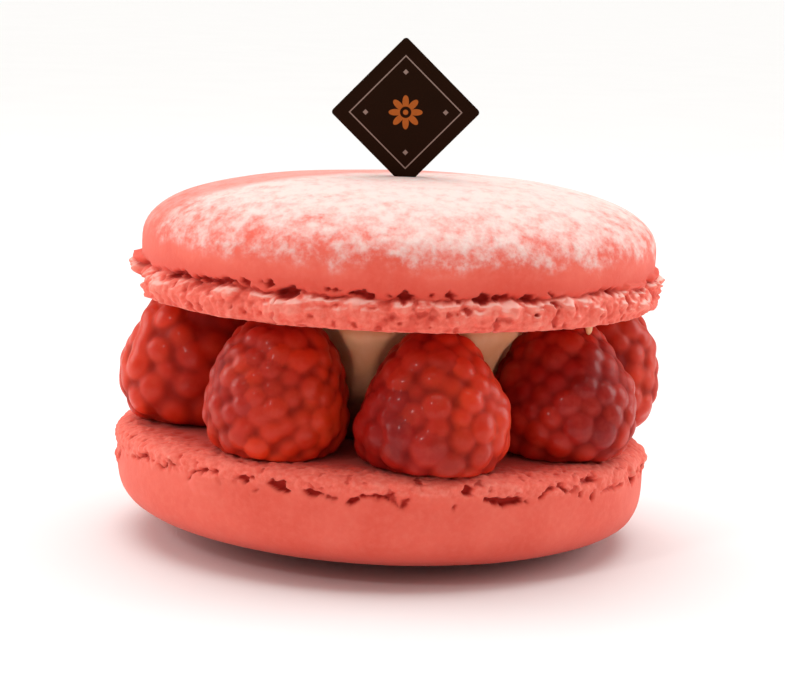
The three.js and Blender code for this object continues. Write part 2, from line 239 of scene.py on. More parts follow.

# Berries, as the solids have them. Width is radial and span along the ring, middle is the height of the
# centre above the lower inner face, lean turns the tip outwards and sway towards larger bearings. Drupelets
# melt into each other over the width blend, and the last entry points to a berry's side darkened as painted
# shade.
BERRIES = [
    {"bearing": -84, "ring": 28.2, "width": 18.8, "span": 22, "middle": 9, "taper": 0.12, "square": 2.6,
     "lean": -18, "sway": 4, "drupelets": 84, "blend": 0.5, "shaded_side": (0.1, 1.3, 0.6)},
    {"bearing": -31.6, "ring": 28, "width": 19.3, "span": 19.3, "middle": 7.8, "taper": 0.14, "square": 2.3,
     "lean": -2, "sway": 5, "drupelets": 170, "blend": 0.45, "shaded_side": (-0.6, 0, 0.3)},
    {"bearing": 12.6, "ring": 28.4, "width": 20.5, "span": 20.5, "middle": 7.7, "taper": 0.25, "square": 2.2,
     "lean": -3, "sway": 3, "drupelets": 112, "blend": 0.45, "shaded_side": (-1.5, 0, -0.3)},
    {"bearing": 60, "ring": 27.6, "width": 20.6, "span": 20, "middle": 8.3, "taper": 0.24, "square": 2.2,
     "lean": -8, "sway": 0, "drupelets": 128, "blend": 0.25, "shaded_side": (-0.9, -0.5, 0)},
    {"bearing": 104, "ring": 31, "width": 19, "span": 19, "middle": 9, "taper": 0.08, "square": 2.3,
     "lean": -4, "sway": 0, "drupelets": 90, "blend": 0.45, "shaded_side": (0, 0.8, 0.1)},
    {"bearing": 147, "ring": 28.6, "width": 19.2, "span": 19.2, "middle": 8.4, "taper": 0.22, "square": 2.3,
     "lean": 3, "sway": 0, "drupelets": 130, "blend": 0.35, "shaded_side": (0.6, 0, 0.4)},
    {"bearing": 189.5, "ring": 28.2, "width": 19.5, "span": 19.5, "middle": 7.9, "taper": 0.14, "square": 2.3,
     "lean": -2, "sway": 0, "drupelets": 116, "blend": 0.45, "shaded_side": (-0.5, 0, 0.4)},
    {"bearing": 231.5, "ring": 28.6, "width": 18.9, "span": 18.9, "middle": 9, "taper": 0.26, "square": 2.3,
     "lean": 12, "sway": 0, "drupelets": 140, "blend": 0.3, "shaded_side": (0.3, 0, -0.6)},
]
BERRY_HALF_HEIGHT = 11.0
BERRY_DETAIL = 6
LEAST_REACH = 0.8
GOLDEN_ANGLE = math.pi * (3 - math.sqrt(5))
# Berries stop short of the inner faces by a gap, and flatten softly there
FACE_GAP = 0.08
FACE_SOFTNESS = 0.35

# Cream: size of its small faces, how far out its folds begin, and a drop squeezed out under the upper foot
CREAM_VOXEL = 0.45
CREAM_FOLDS_FROM = 8
CREAM_DROP_PLACE = (27.0, -17.3, 33.2)
CREAM_DROP_SIZE = (1.0, 1.0, 2.2)

# Icing sugar: height of its lower edge, how much lower that lies per millimetre towards +X, and the height
# over which the sugar grows dense. Behind a slanting line it is thin.
SUGAR_EDGE_Z = 41.8
SUGAR_EDGE_SLOPE = 0.02
SUGAR_GROWTH = 8.5
SUGAR_BACK_SLOPE = 0.6
SUGAR_BACK_START = 2
SUGAR_BACK_END = 8

# Plaque on its corner, with a print of a rosette inside a thin square line with four small marks
PLAQUE_SIDE = 15.0
PLAQUE_THICKNESS = 1.4
PLAQUE_CORNER = 0.5
PLAQUE_EDGE = 0.16
PLAQUE_X = 1.15
PLAQUE_CENTRE_Z = 60.4
PLAQUE_TURN = -1.5
ROSETTE_WAIST = 1.1
PETAL_LENGTH = 1.35
ROSETTE_HOLE = 0.75
ROSETTE_EYE = 0.42
LINE_PLACE = 5.6
LINE_HALF_WIDTH = 0.11
MARK_PLACE = 4.0
MARK_HALF_WIDTH = 0.32


class Wire:
    """One output of a finish's nodes. Sums and products of wires and numbers add Math nodes."""

    def __init__(self, finish, socket):
        self.finish = finish
        self.socket = socket

    def math(self, operation, *values):
        return self.finish.node("ShaderNodeMath", {"operation": operation}, dict(enumerate(values)))

    def __add__(self, other):
        return self.math("ADD", self, other)

    def __radd__(self, other):
        return self.math("ADD", other, self)

    def __sub__(self, other):
        return self.math("SUBTRACT", self, other)

    def __rsub__(self, other):
        return self.math("SUBTRACT", other, self)

    def __mul__(self, other):
        return self.math("MULTIPLY", self, other)

    def __rmul__(self, other):
        return self.math("MULTIPLY", other, self)

    def __truediv__(self, other):
        return self.math("DIVIDE", self, other)

    def __pow__(self, other):
        return self.math("POWER", self, other)

    def __abs__(self):
        return self.math("ABSOLUTE", self)

    def lower(self, other):
        return self.math("MINIMUM", self, other)

    def higher(self, other):
        return self.math("MAXIMUM", self, other)

    def ramp(self, start, end):
        """0 below start, 1 above end and smooth between them. Start may be the larger."""
        settings = {"interpolation_type": "SMOOTHSTEP"}
        return self.finish.node("ShaderNodeMapRange", settings, {0: self, 1: start, 2: end, 3: 0.0, 4: 1.0})


class Finish:
    """A material with one Principled shader whose sockets are fed by expressions."""

    def __init__(self, name):
        self.material = bpy.data.materials.new(name)
        self.material.use_nodes = True
        self.tree = self.material.node_tree
        self.shader = self.tree.nodes["Principled BSDF"]
        self.place = self.node("ShaderNodeTexCoord", {}, {}, "Object")

    def feed(self, socket, value):
        if isinstance(value, Wire):
            self.tree.links.new(value.socket, socket)
        else:
            socket.default_value = value

    def node(self, kind, settings, values, output=0):
        """Adds a node: its settings first, then its sockets by name or number, as values or wires."""
        made = self.tree.nodes.new(kind)
        for name, value in settings.items():
            setattr(made, name, value)
        for name, value in values.items():
            self.feed(made.inputs[name], value)
        return Wire(self, made.outputs[output])

    def set(self, **values):
        """Sets the shader's sockets, named with underscores for spaces."""
        for name, value in values.items():
            self.feed(self.shader.inputs[name.replace("_", " ").title().replace("Ior", "IOR")], value)

    def mix(self, factor, first, second):
        return self.node("ShaderNodeMix", {"data_type": "RGBA"}, {0: factor, 6: first, 7: second}, 2)

    def noise(self, size, detail=3.0, roughness=0.5, place=None):
        """Soft noise from 0 to 1 with lumps of a size in millimetres."""
        values = {
            "Vector": place or self.place,
            "Scale": 1 / (size * MM),
            "Detail": detail,
            "Roughness": roughness,
        }
        return self.node("ShaderNodeTexNoise", {}, values)

    def cells(self, size):
        """Distance to the nearest of scattered centres, as a share of their spacing in millimetres."""
        return self.node("ShaderNodeTexVoronoi", {}, {"Vector": self.place, "Scale": 1 / (size * MM)})

    def attribute(self, name):
        return self.node("ShaderNodeAttribute", {"attribute_name": name}, {}, "Fac")

    def along(self, axis):
        """Object coordinate along one axis, in millimetres."""
        return self.node("ShaderNodeSeparateXYZ", {}, {0: self.place}, axis) * (1 / MM)

    def bump(self, height, depth, below=None):
        """Relief of a height from 0 to 1 that is depth millimetres deep."""
        values = {"Strength": 1.0, "Distance": depth * MM, "Height": height}
        if below:
            values["Normal"] = below
        return self.node("ShaderNodeBump", {}, values)


def colour(red, green, blue):
    """A picture's 0 to 255 colour as the linear one that a shader takes."""
    def linear(value):
        share = value / 255
        return share / 12.92 if share <= 0.04045 else ((share + 0.055) / 1.055) ** 2.4
    return (linear(red), linear(green), linear(blue), 1.0)


def unit(vectors):
    return vectors / np.linalg.norm(vectors, axis=1, keepdims=True)


def smooth_step(value):
    value = np.clip(value, 0, 1)
    return value * value * (3 - 2 * value)


def shuffled(lattice, draw):
    """A number from 0 to 255 for each lattice corner, always the same one."""
    order = draw.permutation(256)
    mixed = order[lattice[:, 2] & 255]
    mixed = order[(lattice[:, 1] + mixed) & 255]
    return order[(lattice[:, 0] + mixed) & 255]


def noise_at(points, size, seed):
    """Smooth noise from about -1 to 1 at each point, with lumps of a size."""
    slopes = unit(np.random.default_rng(seed).normal(size=(256, 3)))
    place = np.asarray(points, dtype=float) / size
    base = np.floor(place).astype(np.int64)
    share = place - base
    fade = share ** 3 * (share * (share * 6 - 15) + 10)
    total = np.zeros(len(place))
    for corner in itertools.product((0, 1), repeat=3):
        slope = slopes[shuffled(base + corner, np.random.default_rng(seed))]
        weight = np.where(corner, fade, 1 - fade).prod(axis=1)
        total += weight * (slope * (share - corner)).sum(axis=1)
    return 1.7 * total


def bubbles_at(points, size, seed):
    """Distance from each point to the nearest of scattered centres, as a share of their spacing."""
    offsets = np.random.default_rng(seed).random((256, 3))
    place = np.asarray(points, dtype=float) / size
    base = np.floor(place).astype(np.int64)
    nearest = np.full(len(place), 9.0)
    for step in itertools.product((-1, 0, 1), repeat=3):
        centre = base + step + offsets[shuffled(base + step, np.random.default_rng(seed))]
        nearest = np.minimum(nearest, np.linalg.norm(centre - place, axis=1))
    return nearest


def mesh_points(mesh):
    points = np.empty(len(mesh.vertices) * 3)
    mesh.vertices.foreach_get("co", points)
    return points.reshape(-1, 3)


def place_points(mesh, points):
    mesh.vertices.foreach_set("co", np.ascontiguousarray(points, dtype=float).ravel())
    mesh.update()


def store(mesh, name, values):
    """Keeps a number for each point on the mesh, for its finish."""
    layer = mesh.attributes.new(name, "FLOAT", "POINT")
    layer.data.foreach_set("value", np.ascontiguousarray(values, dtype=np.float32))


def piece(name, mesh, finish, node):
    """A finished piece: smooth, riding on the body, standing for its CAD node."""
    made = bpy.data.objects.new(name, mesh)
    bpy.context.scene.collection.objects.link(made)
    mesh.materials.clear()
    mesh.materials.append(finish.material)
    mesh.polygons.foreach_set("use_smooth", [True] * len(mesh.polygons))
    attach(made, "root")
    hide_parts(node)


def mesh_from(shape, name):
    """Makes a bmesh into a mesh whose faces point outwards."""
    bmesh.ops.recalc_face_normals(shape, faces=shape.faces)
    mesh = bpy.data.meshes.new(name)
    shape.to_mesh(mesh)
    shape.free()
    return mesh


def turned(name, profile, steps):
    """A closed mesh of a profile of (radius, height) points, from axis to axis, turned about Z."""
    shape = bmesh.new()
    last = len(profile) - 1
    bmesh.ops.create_grid(shape, x_segments=steps, y_segments=last, size=1)
    for vertex in shape.verts:
        angle = math.pi * vertex.co.x
        radius, height = profile[round((vertex.co.y + 1) / 2 * last)]
        vertex.co = (radius * math.cos(angle), radius * math.sin(angle), height)
    seams = [vertex for vertex in shape.verts if vertex.is_boundary]
    bmesh.ops.remove_doubles(shape, verts=seams, dist=1e-5)
    return mesh_from(shape, name)


# Shells are worked out in millimetres in their own frame: inner face at height 0, dome up.
def shell_side(shell, height):
    """Radius of a shell's side between its inner face and its widest ring."""
    foot = shell["foot"]
    share = np.clip(height / foot, 0, 1)
    bulge = shell["overhang"] * (1 - np.abs(2 * share - 1) ** 2.4)
    tuck = -shell["tuck"] * np.exp(-np.abs(height - foot) / 0.6)
    return shell["radius"] + bulge + tuck


def shell_profile(shell):
    """Points of a shell's outline: inner face, rounded edge of the foot, side with fine steps, and dome."""
    rim = shell["rim"]
    edge = shell_side(shell, rim)
    face = [(radius, 0.0) for radius in np.arange(edge - CRUMB_WIDTH, edge - 1.6 * rim, FACE_STEP)]
    turns = np.linspace(0, math.pi / 2, round(2.2 * rim / SIDE_STEP), endpoint=False)
    rounding = list(zip(edge - 1.6 * rim * (1 - np.sin(turns)), rim * (1 - np.cos(turns))))
    power = 2 / shell["squareness"]
    equator = shell["equator"]
    rise = shell["thickness"] - equator
    heights = np.arange(rim, shell["foot"] + CRACK_REACH, SIDE_STEP)
    sines = ((heights - equator) / rise).clip(0) ** (1 / power)
    radii = shell_side(shell, heights.clip(max=equator)) * np.sqrt(1 - sines ** 2) ** power
    side = list(zip(radii, heights))
    shares = np.linspace(0, 1, DOME_RINGS + 1)[1:]
    turns = np.arcsin(sines[-1]) + (math.pi / 2 - np.arcsin(sines[-1])) * shares ** 1.1
    radii = shell["radius"] * np.cos(turns).clip(0) ** power
    dome = list(zip(radii, equator + rise * np.sin(turns) ** power))
    dome[-1] = (0.0, shell["thickness"])
    return [(0.0, 0.0)] + face + rounding + side + dome


def front_share(bearing):
    """1 at the front and 0 at the back."""
    return ((1 + np.cos(np.radians(bearing))) / 2) ** 2


def hidden_marks(shell):
    """Cracks and lumps round the back, drawn at random in the sizes of those in front."""
    draw = np.random.default_rng(shell["seed"])
    cracks = []
    lumps = []
    bearing, end = shell["hidden"]
    while bearing < end:
        foot_top = shell["foot"] - shell["front_lift"] * front_share(bearing)
        line = shell["face_z"] + shell["flip"] * foot_top
        span = draw.uniform(2.5, 7)
        places = [(bearing + share * span, line + draw.uniform(-0.7, 0.7)) for share in (0, 0.5, 1)]
        cracks.append((draw.uniform(0.25, 0.55), draw.uniform(0.7, 1.3), places))
        lump = (bearing + draw.uniform(0, 4), line + draw.choice((-1, 1)) * draw.uniform(0.9, 1.8))
        lumps.append((draw.uniform(0.8, 1.4), draw.uniform(0.25, 0.5), [lump]))
        bearing += span + draw.uniform(1, 4.5)
    return cracks, lumps


def distance_to(places, bearing, height, radius):
    """Distance in millimetres over a shell's side from each point to a line of (bearing, height) places, and
    how near the line's ends that is, from 0 in its middle to 1."""
    nearest = np.full(len(bearing), 1e3)
    ending = np.zeros(len(bearing))
    steps = list(zip(places, places[1:] or places))
    for number, (start, end) in enumerate(steps):
        across = np.radians((bearing - start[0] + 180) % 360 - 180) * radius
        up = height - start[1]
        run = math.radians(end[0] - start[0]) * radius
        climb = end[1] - start[1]
        length = max(run ** 2 + climb ** 2, 1e-6)
        share = np.clip((across * run + up * climb) / length, 0, 1)
        away = np.hypot(across - share * run, up - share * climb)
        ending = np.where(away < nearest, abs(2 * (number + share) / len(steps) - 1), ending)
        nearest = np.minimum(nearest, away)
    return nearest, ending * (len(places) > 1)


def placed_shell(shell, points, bearing):
    """Where the smooth shell's points stand. The line between foot and dome lies nearer the inner face at the
    front of the lower shell, and on the upper one it wanders up and down."""
    x, y, height = points.T
    flip = shell["flip"]
    foot = shell["foot"]
    seed = shell["seed"]
    nearness = np.where(height < foot, height / foot, smooth_step(1 - (height - foot) / LIFT_FADE))
    rim_points = np.column_stack([x, y, np.zeros(len(x))])
    wander = shell["wander"] * (noise_at(rim_points, 5, seed + 21) + 0.5 * noise_at(rim_points, 2, seed + 25))
    lean = shell["lean"][0] * x + shell["lean"][1] * flip * y
    level = height + nearness * (wander - shell["front_lift"] * front_share(bearing)) - lean
    placed = np.column_stack([x, flip * y, flip * level]) + (shell["x"], 0, shell["face_z"])
    if shell["flat_spot"]:
        underside = height > shell["equator"]
        radius = np.hypot(x[underside], y[underside])
        placed[underside, 2] *= smooth_step((radius - shell["flat_spot"]) / FLAT_SPOT_FADE)
    return placed


def crumbs_of(shell, side):
    """Height of the foot's lumps, crumbs and grains at each point, and how much of a pit it is."""
    seed = shell["seed"]
    coarse = 0.5 - bubbles_at(side, LUMP_SIZE, seed) + 0.35 * noise_at(side, 5, seed + 9)
    crumbs = 0.52 - bubbles_at(side, CRUMB_SIZE, seed + 5)
    grains = 0.54 - bubbles_at(side, GRAIN_SIZE, seed + 7)
    pits = smooth_step((noise_at(side, PIT_SIZE, seed + 13) - 0.42) / 0.2)
    return shell["coarse"] * coarse + shell["fine"] * (crumbs + 0.6 * grains - 0.7 * pits), pits


def marks_of(shell, side, side_height, bearing):
    """Depth of the cracks and height of the lumps at each point of the side, both with ragged edges."""
    seed = shell["seed"]
    foot = shell["foot"]
    cracks, lumps = hidden_marks(shell)
    ragged = 0.42 * noise_at(side, 1.0, seed + 17) + 0.2 * noise_at(side, 0.5, seed + 19)
    crease = np.exp(-(((side_height - foot - 0.1 + 0.8 * ragged) / 0.35) ** 2))
    depth = shell["crease"] * crease * smooth_step(0.7 + noise_at(side, 3, seed + 23))
    for half, deep, places in shell["cracks"] + cracks:
        away, ending = distance_to(places, bearing, side[:, 2], shell["radius"])
        half_here = half * (1.15 - 0.75 * ending ** 2)
        depth = np.maximum(depth, deep * smooth_step((half_here + 0.22 - away - ragged) / 0.5))
    height = np.zeros(len(side))
    for half, high, places in shell["lumps"] + lumps:
        away = distance_to(places, bearing, side[:, 2], shell["radius"])[0] + 0.35 * ragged
        height += high * smooth_step(1.35 - away / half)
    return depth, height


def shell_mesh(name, shell):
    """A shell with its relief, placed."""
    mesh = turned(name, shell_profile(shell), SHELL_BEARINGS)
    points = mesh_points(mesh)
    flip = shell["flip"]
    x, y, height = points.T
    radius = np.hypot(x, y)
    bearing = np.degrees(np.arctan2(x, -flip * y))
    placed = placed_shell(shell, points, bearing)

    # Crumbs cover the foot and fade out above it and inwards on the inner face
    on_side = (radius > shell["radius"] - CRUMB_WIDTH + 0.5) & (height < shell["foot"] + 4)
    side = placed[on_side]
    side_height = height[on_side]
    past_edge = radius[on_side] - shell["radius"]
    to_foot_top = shell["foot"] + 0.5 * shell["foot_fade"] - side_height
    foot_share = smooth_step((past_edge + CRUMB_WIDTH) / 4) * smooth_step(to_foot_top / shell["foot_fade"])
    crumbly, pits = crumbs_of(shell, side)
    crack_depth, lump_height = marks_of(shell, side, side_height, bearing[on_side])
    relief = foot_share * crumbly + lump_height * smooth_step((to_foot_top + 1) / 0.5)

    # Relief pushes the side outwards and the inner face up or down, and the dome is a little uneven
    outwards = smooth_step((past_edge + 2.5) / 2)
    push = np.zeros(len(points))
    push[on_side] = relief * outwards - crack_depth
    seed = shell["seed"]
    waves = 0.25 * noise_at(points, 17, seed + 31) + 0.06 * noise_at(points, 5, seed + 33)
    waves = np.where(height > 0.05, waves, 0)
    scale = (radius + push + waves) / np.maximum(radius, 1e-6)
    placed[:, 0] = shell["x"] + x * scale
    placed[:, 1] = flip * y * scale
    placed[on_side, 2] -= flip * relief * (1 - outwards)
    if not shell["flat_spot"]:
        dome_share = np.clip((height - shell["equator"]) / (shell["thickness"] - shell["equator"]), 0, 1)
        placed[:, 2] += 0.12 * dome_share * noise_at(points, 14, seed + 35)
    place_points(mesh, placed * MM)

    # For the crust's colour: how deep in a crack or pit each point lies, how much it is part of the foot, and
    # how far it stands out
    on_shell = {"hollow": np.zeros(len(x)), "foot": np.zeros(len(x)), "raised": np.full(len(x), 0.5)}
    on_shell["hollow"][on_side] = np.clip(crack_depth / 0.9 + 0.35 * foot_share * pits, 0, 1)
    on_shell["foot"][on_side] = foot_share
    on_shell["raised"][on_side] = np.clip(0.5 + foot_share * (crumbly + lump_height) / 1.2, 0, 1)
    for key, values in on_shell.items():
        store(mesh, key, values)
    return mesh


def lower_face_at(x, y):
    """Height of the leaning lower inner face."""
    return LOWER_FACE_Z + LOWER_LEAN[0] * (x - LOWER_SHELL["x"]) + LOWER_LEAN[1] * y


# Berries are worked out in millimetres about their own centre: tip up, X along the ring, -Y outwards.
def body_points(directions, berry):
    """Points of a smooth body that narrows to its tip, one for each direction."""
    taper = berry["taper"]
    power = berry["square"]
    widest_height = (1 - math.sqrt(1 + 8 * taper ** 2)) / (4 * taper)
    widest = math.sqrt(1 - widest_height ** 2) * (1 - taper * widest_height)
    across = np.hypot(directions[:, 0], directions[:, 1])
    square = (across ** power + np.abs(directions[:, 2]) ** power) ** (-1 / power)
    squared = directions * square[:, None]
    narrowing = (1 - taper * squared[:, 2]) / widest
    half_height = np.full(len(directions), BERRY_HALF_HEIGHT)
    return squared * np.column_stack([
        berry["span"] / 2 * narrowing, berry["width"] / 2 * narrowing, half_height,
    ])


def drupelet_directions(count, draw):
    """Directions along a spiral, each moved a little and then pushed apart."""
    index = np.arange(count)
    height = 1 - 2 * (index + 0.5) / count
    across = np.sqrt(1 - height ** 2)
    turn = index * GOLDEN_ANGLE
    spiral = np.column_stack([across * np.cos(turn), across * np.sin(turn), height])
    spacing = math.sqrt(4 * math.pi / count)
    directions = unit(spiral + draw.uniform(-0.34, 0.34, (count, 3)) * spacing)
    for _ in range(6):
        apart = directions[:, None] - directions[None]
        distance = np.linalg.norm(apart, axis=2) + np.eye(count)
        push = (apart * np.exp(-((distance / spacing) ** 2) * 1.5)[..., None]).sum(axis=1)
        directions = unit(directions + 0.12 * push)
    return directions


def drupelet_skin(lines, reach, centres, radii, blend):
    """How far the skin lies from the berry's centre along each line, and the drupelet that it belongs to.
    Drupelets are balls that melt into each other over a width."""
    along = lines @ centres.T
    inside = along ** 2 - (centres ** 2).sum(axis=1) + radii ** 2
    farthest = np.where(inside > 0, along + np.sqrt(np.maximum(inside, 0)), 0)
    ordered = np.sort(farthest, axis=1)
    first = ordered[:, -1]
    nearness = np.clip(1 - (first - ordered[:, -2]) / blend, 0, 1)
    skin = np.maximum(first, LEAST_REACH * reach) + blend / 4 * nearness ** 2
    return skin, np.argmax(farthest, axis=1)


def berry_mesh(name, berry, seed):
    """A berry of balls pushed out of a smooth body, turned and placed, and pressed a little by the faces."""
    draw = np.random.default_rng(seed)
    directions = drupelet_directions(berry["drupelets"], draw)
    tops = body_points(directions, berry)
    distance = np.linalg.norm(tops[:, None] - tops[None], axis=2) + 1e3 * np.eye(len(tops))
    spacing = np.sort(distance, axis=1)[:, :5].mean(axis=1)
    radii = 0.8 * spacing * draw.uniform(0.88, 1.15, len(tops))
    sunk = 1 - (radii + draw.uniform(-0.2, 0.35, len(tops))) / np.linalg.norm(tops, axis=1)

    shape = bmesh.new()
    bmesh.ops.create_icosphere(shape, subdivisions=BERRY_DETAIL, radius=1)
    mesh = mesh_from(shape, name)
    body = body_points(unit(mesh_points(mesh)), berry)
    reach = np.linalg.norm(body, axis=1)
    lines = body / reach[:, None]
    skin, drupelet = drupelet_skin(lines, reach, tops * sunk[:, None], radii, berry["blend"])
    points = lines * skin[:, None]
    points += lines * (0.06 * noise_at(points, 1.6, seed) + 0.3 * noise_at(points, 6, seed))[:, None]

    bearing = math.radians(berry["bearing"])
    turn = Matrix.Rotation(bearing, 3, "Z") @ Matrix.Rotation(math.radians(berry["sway"]), 3, "Y")
    turn = turn @ Matrix.Rotation(math.radians(berry["lean"]), 3, "X")
    points = points @ np.array(turn).T
    x = berry["ring"] * math.sin(bearing)
    y = -berry["ring"] * math.cos(bearing)
    points += (x, y, lower_face_at(x, y) + berry["middle"])
    points[:, 2] = pressed(points)
    place_points(mesh, points * MM)

    # For the skin's colour: 0 on a drupelet's top and 1 in a crease, and how ripe each drupelet is, at
    # random, with painted shade added on the berry's shaded side
    store(mesh, "valley", np.clip((reach - skin) / 0.8, 0, 1))
    ripeness_and_shade = 0.45 + 0.16 * draw.uniform(-1, 1, len(tops)) + 0.4 * noise_at(tops, 7, seed + 40)
    # Painted shade: drupelets towards the berry's shaded side are darker.
    ripeness_and_shade = (ripeness_and_shade + 0.5 * directions @ np.array(berry["shaded_side"])).clip(0, 1)
    store(mesh, "ripeness_and_shade", ripeness_and_shade[drupelet])
    return mesh


def pressed(points):
    """Heights limited softly by the two inner faces."""
    floor = lower_face_at(points[:, 0], points[:, 1]) + FACE_GAP
    ceiling = UPPER_FACE_Z - FACE_GAP
    height = floor + FACE_SOFTNESS * np.logaddexp(0, (points[:, 2] - floor) / FACE_SOFTNESS)
    return ceiling - FACE_SOFTNESS * np.logaddexp(0, (ceiling - height) / FACE_SOFTNESS)


def welded_copy(node, name):
    """A copy of a CAD node's mesh with its loose triangles joined."""
    shape = bmesh.new()
    shape.from_mesh(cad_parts[node].data)
    bmesh.ops.remove_doubles(shape, verts=shape.verts, dist=1e-6)
    return mesh_from(shape, name)


def remeshed(mesh, voxel):
    """The mesh built anew from small even faces of a size in millimetres."""
    helper = bpy.data.objects.new("helper", mesh)
    bpy.context.scene.collection.objects.link(helper)
    remesh = helper.modifiers.new("remesh", "REMESH")
    remesh.mode = "VOXEL"
    remesh.voxel_size = voxel * MM
    smooth = helper.modifiers.new("smooth", "SMOOTH")
    smooth.iterations = 12
    smooth.factor = 0.6
    graph = bpy.context.evaluated_depsgraph_get()
    made = bpy.data.meshes.new_from_object(helper.evaluated_get(graph))
    bpy.data.objects.remove(helper)
    return made


def cream_mesh():
    """The cream with soft folds round its side, and the drop."""
    mesh = remeshed(welded_copy("cream", "cream_core"), CREAM_VOXEL)
    points = mesh_points(mesh) / MM
    radius = np.hypot(points[:, 0], points[:, 1])
    away = np.column_stack([points[:, 0] / radius, points[:, 1] / radius, np.zeros(len(points))])
    folds = 0.35 * noise_at(points * (1, 1, 1.8), 5, 71) + 0.12 * noise_at(points, 2, 73)
    points += away * np.where(radius > CREAM_FOLDS_FROM, folds, 0)[:, None]
    place_points(mesh, points * MM)
    shape = bmesh.new()
    shape.from_mesh(mesh)
    drop = Matrix.Translation(Vector(CREAM_DROP_PLACE) * MM) @ Matrix.Diagonal((*CREAM_DROP_SIZE, 1))
    bmesh.ops.create_icosphere(shape, subdivisions=3, radius=MM / 2, matrix=drop)
    shape.to_mesh(mesh)
    shape.free()
    return mesh


def plaque_mesh():
    """A square of chocolate on its corner, with rounded corners and edges."""
    shape = bmesh.new()
    bmesh.ops.create_cube(shape, size=1)
    bmesh.ops.scale(shape, vec=(PLAQUE_SIDE * MM, PLAQUE_THICKNESS * MM, PLAQUE_SIDE * MM), verts=shape.verts)
    corners = [edge for edge in shape.edges if abs(edge.verts[0].co.y - edge.verts[1].co.y) > 1e-6]
    bevel = {"offset_type": "OFFSET", "affect": "EDGES", "profile": 0.5, "material": -1}
    bmesh.ops.bevel(shape, geom=corners, offset=PLAQUE_CORNER * MM, segments=5, **bevel)
    rim = [edge for edge in shape.edges if abs(edge.verts[0].co.y - edge.verts[1].co.y) < 1e-6]
    bmesh.ops.bevel(shape, geom=rim, offset=PLAQUE_EDGE * MM, segments=3, **bevel)
    turn = Matrix.Rotation(math.radians(45 + PLAQUE_TURN), 4, "Y")
    place = Matrix.Translation((PLAQUE_X * MM, 0, PLAQUE_CENTRE_Z * MM))
    bmesh.ops.transform(shape, matrix=place @ turn, verts=shape.verts)
    return mesh_from(shape, "plaque_chocolate")


def baked_pink(finish, foot, raised, mottle, speckle):
    """Pink of the smooth dome, and of the foot's crumbs, which are paler on their tops as a painted highlight
    and darker low down as painted shade.
    """
    dome = finish.mix(mottle.ramp(0.3, 0.7), colour(236, 94, 76), colour(244, 108, 90))
    dome = finish.mix(speckle.ramp(0.35, 0.75) * 0.25, dome, colour(250, 132, 114))
    crumb = finish.mix(finish.noise(0.7, 3, 0.6).ramp(0.3, 0.7), colour(240, 100, 82), colour(248, 122, 104))
    # Painted highlight: crumbs that stand out are paler.
    crumb = finish.mix(raised.ramp(0.6, 1.0) * 0.4, crumb, colour(255, 164, 146))
    # Painted shade: crumbs that lie low are darker.
    crumb = finish.mix(raised.ramp(0.48, 0.2) * 0.6, crumb, colour(216, 66, 50))
    return finish.mix(foot, dome, crumb)


def shade_dust_and_highlight(finish, pink, foot, raised, hollow):
    """The upper crust darkens towards its cracks as painted shade, and its lumps that face up are paler with
    sugar dust and a painted highlight, more so towards +X.
    """
    # Painted shade on the dome just above the line of cracks.
    shade = finish.along("Z").ramp(CREVICE_SHADE_Z, CREVICE_Z) * (1 - foot)
    pink = finish.mix(shade * 0.5, pink, colour(220, 72, 54))
    # Sugar dust and a painted highlight on crumbs that face up.
    outside = finish.node("ShaderNodeNewGeometry", {}, {}, "Normal")
    facing_up = finish.node("ShaderNodeSeparateXYZ", {}, {0: outside}, "Z").ramp(0.3, 0.85)
    dust_and_highlight = facing_up * foot * raised.ramp(0.4, 0.75) * (1 - hollow).ramp(0.5, 1.0)
    # Painted highlight: stronger towards +X.
    dust_and_highlight = dust_and_highlight * (0.6 + 0.35 * finish.along("X").ramp(15, 35))
    return finish.mix(dust_and_highlight, pink, colour(255, 210, 198))


def underside_shade_and_juice(finish, pink, mottle):
    """The lower crust darkens underneath as painted shade, and round the berries with juice stains and
    painted shade.
    """
    # Painted shade: darker towards the bottom of the dome.
    pink = finish.mix(finish.along("Z").ramp(UNDERSIDE_SHADE_Z, 1) * 0.95, pink, colour(194, 48, 30))
    # Juice stain and painted shade on the inner face round the berries.
    from_axis = (finish.along("X") ** 2 + finish.along("Y") ** 2) ** 0.5 + (mottle - 0.5) * 6
    juice_and_shade = from_axis.ramp(JUICE_AND_SHADE_REACH, JUICE_AND_SHADE_REACH - 5) * finish.along("Z").ramp(JUICE_AND_SHADE_Z, JUICE_AND_SHADE_Z + 1)
    return finish.mix(juice_and_shade * 0.7, pink, colour(196, 44, 28))


